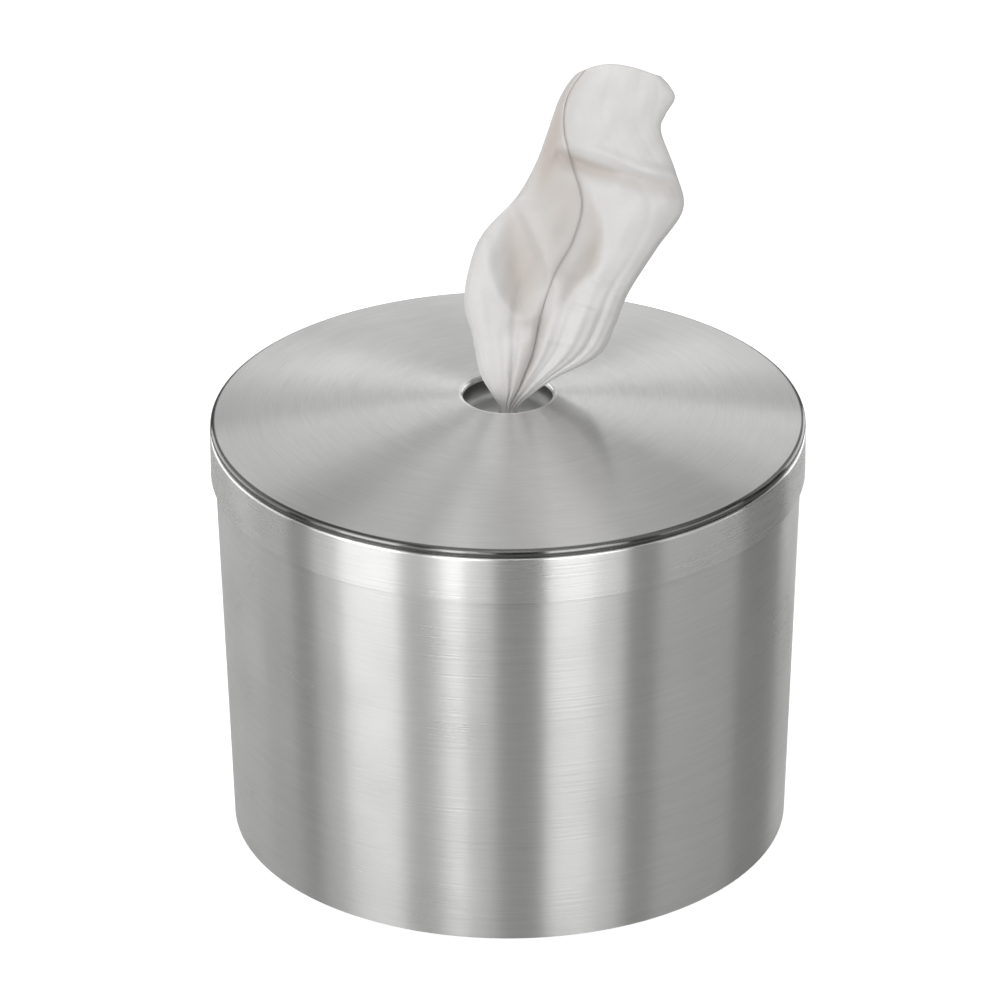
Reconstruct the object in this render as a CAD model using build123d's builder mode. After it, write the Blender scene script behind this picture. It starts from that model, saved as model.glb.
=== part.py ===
from build123d import *
import os
from math import asin, atan2, cos, degrees, sin, sqrt

# Countertop wet wipe dispenser: a tapered stainless can with a domed lid that lifts off.
# A centre-pull roll of wet wipes stands on the base pan. The leading wipe rises out of the
# roll's core, passes a soft nozzle under the dish in the lid, and stands above the lid.
# Millimetres, +Z up, origin on the table under the can's axis, front towards -Y.

os.makedirs("parts", exist_ok=True)

# Sheet metal and fits
sheet = 0.7
seat_gap = 0.3

# Can
foot_drop = 1.5
shell_mouth_radius = 123.7
shell_taper = 5.5
shell_height = 177.4
rim_curl_radius = 2.5
rim_curl_angle = 250

# Base pan, pressed and welded inside the can's lower edge
pan_recess = 6.0
pan_weld_setback = 1.0
pan_bend_radius = 3.0
sump_drop = 1.2
sump_bend_radius = 2.0

# Rubber feet
foot_inset = 24.2
foot_first_angle = 45
foot_top_radius = 10.0
foot_sump_gap = 6.0
foot_sole_radius = 8.8
foot_edge_radius = 1.2

# Lid
lid_side_gap = 0.6
band_height = 20.2
band_bend_radius = 1.0
band_flange_width = 7.4
band_lower_edge_radius = 0.25
crown_height = 14.9
crown_setback = 0.15
crown_bead_radius = 1.85
crown_hem_width = 5.0
gasket_depth = 2.3
gasket_width = 5.8
gasket_side_gap = 0.6
gasket_edge_radius = 0.5

# Dish under the lid's opening
opening_radius = 19.0
opening_bend_radius = 1.2
opening_lip = 1.0
dish_side_gap = 0.2
dish_flange_width = 6.5
dish_depth = 9.8
dish_mouth_bend_radius = 1.7
dish_corner_radius = 5.2
outlet_radius = 3.0
outlet_bend_radius = 1.6
outlet_collar = 2.8

# Nozzle that grips the wipe
nozzle_length = 8.4
nozzle_wall = 2.2
nozzle_bore_radius = 2.6
nozzle_flare = 1.5
nozzle_edge_radius = 0.6
nozzle_slit_count = 6
nozzle_slit_width = 0.5
nozzle_slit_length = 4.0

# Roll of wipes
roll_height = 152.4
roll_side_gap = 9.5
core_radius = 24.0
roll_edge_radius = 1.5

# Wipe that stands out of the lid, and the one torn off next
strand_gap = 0.3
wipe_thickness = 1.6
wipe_rise = 158.5
wipe_width = 75.2
wipe_length_below_outlet = 32.0
strand_overlap = 3.0
next_strand_length = 45.0
next_wipe_drop = 65.0
next_wipe_width = 19.0

# Folds across the wipe: each ridge or valley as a share of the width there, its place across and
# its depth, back (+) or forward (-), and how far each panel between them bows, as a share of half
# its own width.
fold_mark_shares = ((0.0, 0.10), (0.17, -0.10), (0.44, 0.16), (0.60, -0.12), (1.0, 0.08))
fold_bow_shares = (-0.35, 0.22, -0.2, -0.3)
wipe_thickness_share = 0.12

# Outline of the standing wipe: height above the outlet as a share of the rise, then left edge,
# right edge and how far the middle leans back as shares of the width, with the fullness of the
# folds before the last.
wipe_shares = (
    (0.012, -0.029, 0.029, 0.1, 0.000),
    (0.085, -0.122, 0.203, 0.6, 0.000),
    (0.170, -0.175, 0.491, 0.9, 0.013),
    (0.249, -0.209, 0.585, 1.0, 0.026),
    (0.347, -0.236, 0.654, 1.0, 0.039),
    (0.450, -0.202, 0.787, 1.0, 0.052),
    (0.535, -0.110, 0.908, 1.0, 0.052),
    (0.626, 0.052, 0.961, 0.9, 0.026),
    (0.717, 0.155, 0.912, 0.6, -0.013),
    (0.809, 0.218, 0.853, 0.5, -0.026),
    (0.894, 0.276, 0.906, 0.5, -0.026),
    (0.960, 0.354, 0.866, 0.45, 0.000),
    (1.000, 0.446, 0.787, 0.4, 0.020),
)

# Outline of the next wipe's loose end: depth below its strand as a share of its drop, half width
# as a share of its width, fullness of the folds.
next_wipe_shares = (
    (-0.046, 0.116, 0.1),
    (0.277, 0.263, 0.6),
    (0.646, 0.421, 0.8),
    (1.000, 0.500, 0.9),
)

# Heights and radii that follow
shell_foot_radius = shell_mouth_radius - shell_taper
foot_circle_radius = shell_foot_radius - foot_inset
sump_radius = foot_circle_radius - foot_top_radius - foot_sump_gap
roll_radius = shell_foot_radius - sheet - roll_side_gap
lid_radius = shell_mouth_radius + lid_side_gap + sheet
rim_top = foot_drop + shell_height
pan_underside = foot_drop + pan_recess
pan_top = pan_underside + sheet
gasket_bottom = rim_top + seat_gap
band_underside = gasket_bottom + gasket_depth
band_top = band_underside + sheet
crown_top = band_top + crown_height
bead_centre_radius = lid_radius - crown_setback - crown_bead_radius
bead_centre_drop = crown_height - crown_bead_radius
crown_radius = (bead_centre_radius**2 + bead_centre_drop**2 - crown_bead_radius**2) / (
    2 * (bead_centre_drop - crown_bead_radius)
)
dish_radius = opening_radius + sheet + dish_side_gap
dish_flange_radius = dish_radius + dish_flange_width
strand_radius = nozzle_bore_radius - strand_gap


def crown_z(radius, depth=0.0):
    """Height of the crown at a radius, or of the surface that lies a depth under it."""
    return crown_top - crown_radius + sqrt((crown_radius - depth) ** 2 - radius**2)


def shell_wall_radius(height):
    """Outer radius of the can's wall at a height above the table."""
    rise = (height - foot_drop) / shell_height
    return shell_foot_radius + rise * (shell_mouth_radius - shell_foot_radius)


# Can: one tapered wall whose mouth is curled inwards
wall_lean = atan2(shell_mouth_radius - shell_foot_radius, shell_height)
curl_start = rim_top - rim_curl_radius * (1 + sin(wall_lean))
with BuildPart() as body_shell:
    with BuildSketch(Plane.XZ):
        with BuildLine():
            wall = Line(
                (shell_foot_radius, foot_drop),
                (shell_wall_radius(curl_start), curl_start),
            )
            JernArc(wall @ 1, wall % 1, rim_curl_radius, rim_curl_angle)
            offset(amount=sheet, side=Side.LEFT)
        make_face()
    revolve(axis=Axis.Z)
body_shell.part.label = "body_shell"
export_step(body_shell.part, "parts/body_shell.step")

# Base pan: a flange on the can's wall, a flat ring that carries the roll, and a shallow sump
pan_foot = foot_drop + pan_weld_setback
wall_across = sheet / cos(wall_lean)
sump_slope_radius = sump_radius + sump_drop
with BuildPart() as base_pan:
    with BuildSketch(Plane.XZ):
        with BuildLine():
            FilletPolyline(
                (shell_wall_radius(pan_foot) - wall_across, pan_foot),
                (shell_wall_radius(pan_top) - wall_across, pan_top),
                (sump_slope_radius, pan_top),
                (sump_radius, pan_top - sump_drop),
                (0, pan_top - sump_drop),
                radius=(pan_bend_radius, sump_bend_radius, sump_bend_radius),
            )
            offset(amount=sheet, side=Side.LEFT)
        make_face()
    revolve(axis=Axis.Z)
base_pan.part.label = "base_pan"
export_step(base_pan.part, "parts/base_pan.step")

# Feet: four rubber bumpers stuck under the pan's flat ring
foot_places = ("rear_right", "rear_left", "front_left", "front_right")
for index, place in enumerate(foot_places):
    foot_plane = Plane.XY.rotated((0, 0, foot_first_angle + 360 / len(foot_places) * index))
    with BuildPart() as foot:
        with BuildSketch(foot_plane):
            with Locations((foot_circle_radius, 0)):
                Circle(foot_sole_radius)
        with BuildSketch(foot_plane.offset(pan_underside)):
            with Locations((foot_circle_radius, 0)):
                Circle(foot_top_radius)
        loft()
        fillet(foot.edges().sort_by(Axis.Z)[0], foot_edge_radius)
    foot.part.label = f"foot_{place}"
    export_step(foot.part, f"parts/foot_{place}.step")

# Roll: wound flat, without a tube, so that it feeds from its open core
with BuildPart() as wipe_roll:
    with BuildSketch(Plane.XY.offset(pan_top)):
        Circle(roll_radius)
        Circle(core_radius, mode=Mode.SUBTRACT)
    extrude(amount=roll_height)
    fillet(wipe_roll.edges().filter_by(GeomType.CIRCLE), roll_edge_radius)
wipe_roll.part.label = "wipe_roll"
export_step(wipe_roll.part, "parts/wipe_roll.step")

# Crown: lip round the opening, spherical dome, rolled edge bead and a hem that lies on the band
lip_bend_radius = opening_radius + opening_bend_radius
lip_bend_angle = asin(lip_bend_radius / (crown_radius - opening_bend_radius))
bead_angle = asin(bead_centre_radius / (crown_radius - crown_bead_radius))
lip_top = crown_z(lip_bend_radius, opening_bend_radius)
with BuildPart() as lid_crown:
    with BuildSketch(Plane.XZ):
        with BuildLine():
            lip = Line((opening_radius, lip_top - opening_lip), (opening_radius, lip_top))
            bend = JernArc(lip @ 1, lip % 1, opening_bend_radius, -90 - degrees(lip_bend_angle))
            dome = JernArc(bend @ 1, bend % 1, crown_radius, degrees(lip_bend_angle - bead_angle))
            bead = JernArc(dome @ 1, dome % 1, crown_bead_radius, degrees(bead_angle) - 180)
            Line(bead @ 1, bead @ 1 - Vector(crown_hem_width, 0))
            offset(amount=sheet, side=Side.RIGHT)
        make_face()
    revolve(axis=Axis.Z)
lid_crown.part.label = "lid_crown"
export_step(lid_crown.part, "parts/lid_crown.step")

# Band: the lid's skirt, turned in at the top to carry the crown above and the gasket below
with BuildPart() as lid_band:
    with BuildSketch(Plane.XZ):
        with BuildLine():
            FilletPolyline(
                (lid_radius, band_top - band_height),
                (lid_radius, band_top),
                (lid_radius - band_flange_width, band_top),
                radius=(band_bend_radius,),
            )
            offset(amount=sheet, side=Side.LEFT)
        make_face()
    revolve(axis=Axis.Z)
    fillet(lid_band.edges().group_by(Axis.Z)[0], band_lower_edge_radius)
lid_band.part.label = "lid_band"
export_step(lid_band.part, "parts/lid_band.step")

# Gasket: a soft ring under the band's flange, over the can's curled rim
gasket_radius = lid_radius - sheet - gasket_side_gap
with BuildPart() as lid_gasket:
    with BuildSketch(Plane.XY.offset(gasket_bottom)):
        Circle(gasket_radius)
        Circle(gasket_radius - gasket_width, mode=Mode.SUBTRACT)
    extrude(amount=gasket_depth)
    fillet(lid_gasket.edges().group_by(Axis.Z)[0], gasket_edge_radius)
lid_gasket.part.label = "lid_gasket"
export_step(lid_gasket.part, "parts/lid_gasket.step")

# Dish: flange against the crown's underside, straight wall, round corner, and an outlet collar
mouth_bend_radius = dish_radius + dish_mouth_bend_radius
mouth_bend_angle = asin(mouth_bend_radius / (crown_radius - sheet - dish_mouth_bend_radius))
flange_angle = asin(dish_flange_radius / (crown_radius - sheet))
mouth_bend_top = crown_z(mouth_bend_radius, sheet + dish_mouth_bend_radius)
dish_floor = crown_z(opening_radius) - dish_depth
with BuildPart() as dispensing_dish:
    with BuildSketch(Plane.XZ):
        with BuildLine():
            FilletPolyline(
                (outlet_radius, dish_floor - outlet_collar),
                (outlet_radius, dish_floor),
                (dish_radius, dish_floor),
                (dish_radius, mouth_bend_top),
                radius=(outlet_bend_radius, dish_corner_radius),
            )
            bend = JernArc(
                (dish_radius, mouth_bend_top),
                (0, 1),
                dish_mouth_bend_radius,
                -90 - degrees(mouth_bend_angle),
            )
            JernArc(
                bend @ 1,
                bend % 1,
                crown_radius - sheet,
                degrees(mouth_bend_angle - flange_angle),
            )
            offset(amount=sheet, side=Side.RIGHT)
        make_face()
    revolve(axis=Axis.Z)
dispensing_dish.part.label = "dispensing_dish"
export_step(dispensing_dish.part, "parts/dispensing_dish.step")

# Nozzle: a silicone sleeve pushed over the outlet's collar, slit at its lower end into petals
collar_radius = outlet_radius + sheet
nozzle_radius = collar_radius + nozzle_wall
nozzle_top = dish_floor - sheet
nozzle_bottom = nozzle_top - nozzle_length
collar_bottom = dish_floor - outlet_collar
with BuildPart() as outlet_nozzle:
    with BuildSketch(Plane.XY.offset(nozzle_bottom)):
        Circle(nozzle_radius)
    extrude(amount=nozzle_length)
    with BuildSketch(Plane.XY.offset(collar_bottom)):
        Circle(collar_radius)
    extrude(until=Until.LAST, mode=Mode.SUBTRACT)
    fillet(
        outlet_nozzle.edges().group_by(Axis.Z)[-1].sort_by(SortBy.RADIUS)[0],
        outlet_bend_radius - sheet,
    )
    with BuildSketch(Plane.XY.offset(nozzle_bottom)):
        Circle(nozzle_bore_radius)
    extrude(amount=nozzle_length, mode=Mode.SUBTRACT)
    lower_edges = outlet_nozzle.edges().group_by(Axis.Z)[0].sort_by(SortBy.RADIUS)
    chamfer(lower_edges[0], nozzle_flare)
    fillet(
        outlet_nozzle.edges().group_by(Axis.Z)[0].sort_by(SortBy.RADIUS)[-1],
        nozzle_edge_radius,
    )
    with BuildSketch(Plane.XY.offset(nozzle_bottom)):
        with PolarLocations(nozzle_radius / 2, nozzle_slit_count):
            Rectangle(nozzle_radius, nozzle_slit_width)
    extrude(amount=nozzle_slit_length, mode=Mode.SUBTRACT)
outlet_nozzle.part.label = "outlet_nozzle"
export_step(outlet_nozzle.part, "parts/outlet_nozzle.step")


def square_to(tangent):
    """Unit vector square to a tangent in the level plane, towards the back."""
    return Vector(-tangent.Y, tangent.X).normalized()


def wipe_section(left, right, fullness, lean):
    """Draw a level cut of the wipe: a band of four bowed panels between ridges and valleys."""
    width = right - left
    half = min(wipe_thickness, wipe_thickness_share * width) / 2
    marks = [
        Vector(left + place * width, lean + depth * fullness * width)
        for place, depth in fold_mark_shares
    ]
    panels = list(zip(marks, marks[1:], fold_bow_shares))
    crests = [
        (start + end) / 2
        + square_to(end - start) * (fullness * bow * (end - start).length / 2)
        for start, end, bow in panels
    ]
    crest_steps = [square_to(end - start) * half for start, end, bow in panels]
    guides = [marks[0], *crests, marks[-1]]
    mark_steps = [square_to(after - before) * half for before, after in zip(guides, guides[1:])]
    for side in (-1, 1):
        ends = [mark + step * side for mark, step in zip(marks, mark_steps)]
        tops = [crest + step * side for crest, step in zip(crests, crest_steps)]
        for start, top, end in zip(ends, tops, ends[1:]):
            ThreePointArc(start, top, end)
    for mark, step in ((marks[0], mark_steps[0]), (marks[-1], mark_steps[-1])):
        Line(mark - step, mark + step)


# Standing wipe: gathered to a strand in the nozzle, then fanned out in folds above the lid
perforation = dish_floor - wipe_length_below_outlet
with BuildPart() as dispensed_wipe:
    for rise, left, right, fullness, lean in wipe_shares:
        with BuildSketch(Plane.XY.offset(dish_floor + rise * wipe_rise)):
            with BuildLine():
                wipe_section(left * wipe_width, right * wipe_width, fullness, lean * wipe_width)
            make_face()
    loft()
    with BuildSketch(Plane.XY.offset(perforation)):
        Circle(strand_radius)
    extrude(amount=wipe_length_below_outlet + strand_overlap)
dispensed_wipe.part.label = "dispensed_wipe"
export_step(dispensed_wipe.part, "parts/dispensed_wipe.step")

# Next wipe: hangs from the perforation as a strand and fans out inside the roll's core
strand_end = perforation - next_strand_length
with BuildPart() as next_wipe:
    for drop, half, fullness in next_wipe_shares:
        with BuildSketch(Plane.XY.offset(strand_end - drop * next_wipe_drop)):
            with BuildLine():
                wipe_section(-half * next_wipe_width, half * next_wipe_width, fullness, 0)
            make_face()
    loft()
    with BuildSketch(Plane.XY.offset(strand_end)):
        Circle(strand_radius)
    extrude(amount=next_strand_length)
next_wipe.part.label = "next_wipe"
export_step(next_wipe.part, "parts/next_wipe.step")
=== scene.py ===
from math import cos, pi, radians, sin, tan

import bpy
import numpy as np
from bpy.props import FloatProperty, FloatVectorProperty, IntProperty, PointerProperty
from bpy.types import Operator, Panel, PropertyGroup
from mathutils import Matrix, Vector


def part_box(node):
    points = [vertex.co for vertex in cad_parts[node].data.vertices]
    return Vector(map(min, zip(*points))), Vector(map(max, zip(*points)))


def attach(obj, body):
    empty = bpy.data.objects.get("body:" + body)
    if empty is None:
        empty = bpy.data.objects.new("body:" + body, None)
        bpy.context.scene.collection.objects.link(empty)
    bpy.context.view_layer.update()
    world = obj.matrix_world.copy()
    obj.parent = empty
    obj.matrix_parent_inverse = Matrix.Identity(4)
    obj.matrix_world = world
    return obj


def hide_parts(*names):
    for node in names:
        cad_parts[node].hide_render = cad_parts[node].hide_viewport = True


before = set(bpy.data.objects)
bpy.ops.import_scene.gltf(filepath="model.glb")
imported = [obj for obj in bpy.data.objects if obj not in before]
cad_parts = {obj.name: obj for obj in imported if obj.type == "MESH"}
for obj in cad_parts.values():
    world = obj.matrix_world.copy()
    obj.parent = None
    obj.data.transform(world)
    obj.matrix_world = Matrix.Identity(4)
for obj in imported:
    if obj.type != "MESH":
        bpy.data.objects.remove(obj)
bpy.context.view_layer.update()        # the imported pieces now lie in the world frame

bl_info = {
    "name": "Wet Wipe Dispenser",
    "version": (1, 0, 0),
    "blender": (4, 5, 0),
    "location": "3D View > Sidebar > Wipe Dispenser",
    "description": "Finishes a stainless tabletop dispenser and pulls a damp wipe out of its lid",
    "category": "Object",
}

MM = 0.001

# The wipe leaves the lid at the outlet in the dish's floor. The nozzle is pushed on from below,
# so the floor's upper face is one sheet above the nozzle's top. Heights are in millimetres.
DISH_SHEET = 0.7
OUTLET_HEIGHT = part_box("outlet_nozzle")[1].z / MM + DISH_SHEET

# The roll's box in the frame, and its open core and round edges in millimetres
ROLL_LOW, ROLL_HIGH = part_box("wipe_roll")
ROLL_CORE = 24.0
ROLL_EDGE = 1.5

# The photograph is taken from the front and above, so a point that moves towards the viewer by
# one millimetre and up by this share of it stays where it is in the picture
CAMERA_ELEVATION = 26.65
VIEW_SLOPE = tan(radians(CAMERA_ELEVATION))

# What the camera aims at, in metres, how far the photograph is turned, in degrees, and the width
# of film that the lens is given for, in millimetres
CAMERA_AIM = (-3.48 * MM, 0, 146.4 * MM)
CAMERA_ROLL = -0.29
FILM_WIDTH = 36.0


def linear(code):
    """Linear colour of an sRGB hex value such as #C8C6C3."""
    parts = [int(code[place : place + 2], 16) / 255 for place in (1, 3, 5)]
    return tuple(
        part / 12.92 if part <= 0.04045 else ((part + 0.055) / 1.055) ** 2.4 for part in parts
    )


def colour_property(name, description, code):
    """A colour that the user can change, with its default as a hex value."""
    return FloatVectorProperty(
        name=name, description=description, subtype="COLOR", min=0, max=1, default=linear(code)
    )


class SteelFinish(PropertyGroup):
    """Finish of the stainless steel sheets."""

    colour: colour_property("Steel", "Colour that the bare steel gives its reflections", "#DBDBDA")
    roughness: FloatProperty(
        name="Roughness", description="Roughness of the brushed face", default=0.3, min=0, max=1
    )
    brushing: FloatProperty(
        name="Brushing", description="How far the brushing stretches highlights", default=1.0,
        min=0, max=1, subtype="FACTOR",
    )
    line_spacing: FloatProperty(
        name="Line spacing", description="Distance between brush lines", default=0.0007,
        min=0.0001, max=0.005, precision=5, unit="LENGTH",
    )


class WipeSheet(PropertyGroup):
    """Size and look of one wipe."""

    width: FloatProperty(
        name="Width", description="Width of the wipe before it is gathered", default=0.1524,
        min=0.05, max=0.5, unit="LENGTH",
    )
    length: FloatProperty(
        name="Length", description="Length between perforations", default=0.2032,
        min=0.05, max=0.5, unit="LENGTH",
    )
    thickness: FloatProperty(
        name="Thickness", description="Thickness of the damp nonwoven", default=0.0004,
        min=0.0001, max=0.002, precision=5, unit="LENGTH",
    )
    colour: colour_property("Fibre", "Colour of the fibres", "#E1E0DF")
    # Painted shade: the colour that the wipe is given in its hollows and under its creases
    painted_shade_colour: colour_property("Painted shade", "Colour where the sheet is painted darkest", "#CAC2BC")
    pleats: IntProperty(
        name="Pleats", description="Pleats all round the gathered neck", default=14, min=3, max=40
    )


class Studio(PropertyGroup):
    """Camera and light."""

    elevation: FloatProperty(
        name="Elevation", description="Camera's angle above the horizon",
        default=radians(CAMERA_ELEVATION), subtype="ANGLE",
    )
    lens: FloatProperty(
        name="Lens", description="Focal length in millimetres", default=256.0, min=20, max=800
    )
    distance: FloatProperty(
        name="Distance", description="Camera's distance from the dispenser", default=3.0,
        min=0.5, max=20, unit="LENGTH",
    )
    floor_colour: colour_property("Floor", "Colour of the pale floor", "#9C9C9B")
    lamp_level: FloatProperty(
        name="Lamps", description="Factor on every lamp's brightness", default=0.89, min=0, max=10
    )


def add_node(tree, kind, settings=None, sockets=None):
    """Add a shader node with its settings. A socket's value is a number, a colour or a link."""
    made = tree.nodes.new(kind)
    for name, value in (settings or {}).items():
        setattr(made, name, value)
    for key, value in (sockets or {}).items():
        if isinstance(value, bpy.types.NodeSocket):
            tree.links.new(value, made.inputs[key])
        else:
            made.inputs[key].default_value = value
    return made


def new_material(name):
    """Start a material whose nodes are still to be added."""
    material = bpy.data.materials.new(name)
    material.use_nodes = True
    material.node_tree.nodes.clear()
    return material, material.node_tree


def two_tones(colour, factors):
    """A colour made darker by the first factor and lighter by the second, for a shader."""
    return (tuple(min(1.0, channel * factor) for channel in colour) + (1.0,) for factor in factors)


def smooth_rows(table, places):
    """Read a table at fractional row numbers: each column runs through its values as a
    Catmull-Rom spline, that is a cubic whose slope at a row is half the step between the rows
    on both sides of it."""
    table = np.asarray(table, float)
    first = np.clip(np.floor(places).astype(int), 0, len(table) - 2)
    share = (places - first)[:, None]
    before, start, end, after = (
        table[np.clip(first + step, 0, len(table) - 1)] for step in (-1, 0, 1, 2)
    )
    return 0.5 * (
        2 * start
        + (end - before) * share
        + (2 * before - 5 * start + 4 * end - after) * share**2
        + (3 * start - before - 3 * end + after) * share**3
    )


def grid_object(name, points, round_columns=False, round_rows=False):
    """Make a mesh object of a grid of points, given as rows, columns and three coordinates in
    metres. Each cell is one face, turned so that it looks out where columns run round the piece
    against the clock and rows run down. The map of the surface has a square a side."""
    rows, columns = points.shape[:2]
    corner = np.arange(rows * columns).reshape(rows, columns)
    if round_columns:
        corner = np.hstack((corner, corner[:, :1]))
    if round_rows:
        corner = np.vstack((corner, corner[:1]))
    faces = np.stack(
        (corner[:-1, :-1], corner[1:, :-1], corner[1:, 1:], corner[:-1, 1:]), axis=-1
    ).reshape(-1, 4)
    mesh = bpy.data.meshes.new(name)
    mesh.from_pydata(points.reshape(-1, 3).tolist(), [], faces.tolist())
    across, along = np.meshgrid(
        np.linspace(0, 1, corner.shape[1]), np.linspace(0, 1, corner.shape[0])
    )
    places = np.stack((across, along), axis=-1)
    corners = np.stack(
        (places[:-1, :-1], places[1:, :-1], places[1:, 1:], places[:-1, 1:]), axis=2
    )
    mesh.uv_layers.new(name="sheet").data.foreach_set("uv", corners.ravel())
    mesh.shade_smooth()
    piece = bpy.data.objects.new(name, mesh)
    bpy.context.scene.collection.objects.link(piece)
    return piece


# Brushed steel. Its tones are factors on the steel's colour, its swings are of roughness, and
# its lines come in so many changes a turn. A quarter turn lays the highlights across the brush.
STEEL_TONES = (0.88, 1.09)
TONE_LINES, BROAD_LINES, GROOVES = 40, 12, 14
BROAD_SPACING, BROAD_SHARE = 4, 0.35
LINE_SWING, CLOUD_SWING = 0.04, 0.02
STEEL_CLOUD = 0.045
ACROSS_THE_BRUSH = 0.25


def brushed_steel(
    name, finish, roughness_shift=0.0, shade=1.0, upright=False, stretch=1.0, tooth=0.00005,
    rings=(),
):
    """Stainless steel sheet, type 304, with a belt-brushed face. The brush runs round the axis on
    every sheet, so highlights are drawn out across it: a fan of light on the crown and upright
    bands on the walls. Fine level lines and a faint cloudiness keep it from looking like chrome.
    A ring is where the radius has gone from its start to its end, in millimetres, and the metal
    has gone over to the ring's colour and roughness: painted shade in a dark ring, a painted
    highlight in a light one."""
    material, tree = new_material(name)
    place = add_node(tree, "ShaderNodeTexCoord").outputs["Object"]
    split = add_node(tree, "ShaderNodeSeparateXYZ", sockets={0: place})
    level = add_node(
        tree, "ShaderNodeCombineXYZ", sockets={0: split.outputs[0], 1: split.outputs[1], 2: 0.0}
    )
    radius = add_node(
        tree, "ShaderNodeVectorMath", {"operation": "LENGTH"}, {0: level.outputs[0]}
    )
    bearing = add_node(
        tree, "ShaderNodeVectorMath", {"operation": "NORMALIZE"}, {0: level.outputs[0]}
    )
    # Across the brush: the height on an upright wall and the radius elsewhere
    across = split.outputs[2] if upright else radius.outputs["Value"]

    def lines(spacing, turns, detail):
        """Noise drawn out along the brush: so many changes in a turn, one each spacing across."""
        round_about = add_node(
            tree, "ShaderNodeVectorMath", {"operation": "SCALE"},
            {0: bearing.outputs[0], "Scale": turns / (2 * pi)},
        )
        step = add_node(
            tree, "ShaderNodeMath", {"operation": "DIVIDE"}, {0: across, 1: spacing}
        )
        lifted = add_node(tree, "ShaderNodeCombineXYZ", sockets={2: step.outputs[0]})
        where = add_node(
            tree, "ShaderNodeVectorMath", {"operation": "ADD"},
            {0: round_about.outputs[0], 1: lifted.outputs[0]},
        )
        return add_node(
            tree, "ShaderNodeTexNoise", {"noise_dimensions": "3D"},
            {"Vector": where.outputs[0], "Scale": 1.0, "Detail": detail, "Roughness": 0.6},
        ).outputs["Fac"]

    # The real brush lines are about 0.1 mm apart. They are drawn coarser so that they show.
    # The bump has longer lines than the tone, because short ones would tear highlights open.
    fine = lines(finish.line_spacing, TONE_LINES, 1.0)
    broad = lines(finish.line_spacing * BROAD_SPACING, BROAD_LINES, 1.0)
    grooves = lines(finish.line_spacing, GROOVES, 0.0)
    cloud = add_node(
        tree, "ShaderNodeTexNoise", {"noise_dimensions": "3D"},
        {"Vector": place, "Scale": 1 / STEEL_CLOUD, "Detail": 2.0},
    ).outputs["Fac"]
    both = add_node(
        tree, "ShaderNodeMix", {"data_type": "FLOAT"},
        {"Factor": BROAD_SHARE, 2: fine, 3: broad},
    ).outputs[0]
    dark, light = two_tones(finish.colour, [shade * factor for factor in STEEL_TONES])
    tone = add_node(
        tree, "ShaderNodeMix", {"data_type": "RGBA"}, {"Factor": both, 6: dark, 7: light}
    ).outputs[2]
    middle = finish.roughness + roughness_shift
    streaked = add_node(
        tree, "ShaderNodeMapRange", {},
        {"Value": both, 3: middle + LINE_SWING, 4: middle - LINE_SWING},
    ).outputs[0]
    clouded = add_node(
        tree, "ShaderNodeMapRange", {},
        {"Value": cloud, 1: 0.3, 2: 0.7, 3: -CLOUD_SWING, 4: CLOUD_SWING},
    ).outputs[0]
    roughness = add_node(
        tree, "ShaderNodeMath", {"operation": "ADD"}, {0: streaked, 1: clouded}
    ).outputs[0]
    # Each ring paints its colour between two radii: painted shade where it is dark, a painted
    # highlight where it is light
    for start, end, code, ring_roughness in rings:
        share = add_node(
            tree, "ShaderNodeMapRange", {},
            {"Value": radius.outputs["Value"], 1: start * MM, 2: end * MM, 3: 0.0, 4: 1.0},
        ).outputs[0]
        tone = add_node(
            tree, "ShaderNodeMix", {"data_type": "RGBA"},
            {"Factor": share, 6: tone, 7: (*linear(code), 1)},
        ).outputs[2]
        roughness = add_node(
            tree, "ShaderNodeMix", {"data_type": "FLOAT"},
            {"Factor": share, 2: roughness, 3: ring_roughness},
        ).outputs[0]
    bump = add_node(
        tree, "ShaderNodeBump", {}, {"Height": grooves, "Strength": 1.0, "Distance": tooth}
    ).outputs[0]
    tangent = add_node(
        tree, "ShaderNodeTangent", {"direction_type": "RADIAL", "axis": "Z"}
    ).outputs[0]
    shader = add_node(
        tree, "ShaderNodeBsdfPrincipled", {},
        {
            "Base Color": tone, "Metallic": 1.0, "Roughness": roughness, "Normal": bump,
            "Anisotropic": finish.brushing * stretch, "Anisotropic Rotation": ACROSS_THE_BRUSH,
            "Tangent": tangent,
        },
    )
    add_node(tree, "ShaderNodeOutputMaterial", sockets={"Surface": shader.outputs[0]})
    return material


# Rubber, silicone and nonwoven: tones as factors on their colour, and how deep their grain is,
# the size of the nonwoven's clouds of denser fibres and of its fibre tooth, all in metres. The
# tooth is drawn at 0.7 mm, coarser than the fibres, so that it shows.
RUBBER_TONES = (0.85, 1.12)
RUBBER_GRAIN_DEPTH = 0.00005
NONWOVEN_TONES = (0.95, 1.04)
FIBRE_CLOUD, FIBRE_TOOTH = 0.006, 0.0007
TOOTH_SHARE = 0.4
TOOTH_DEPTH = 0.00015


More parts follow.
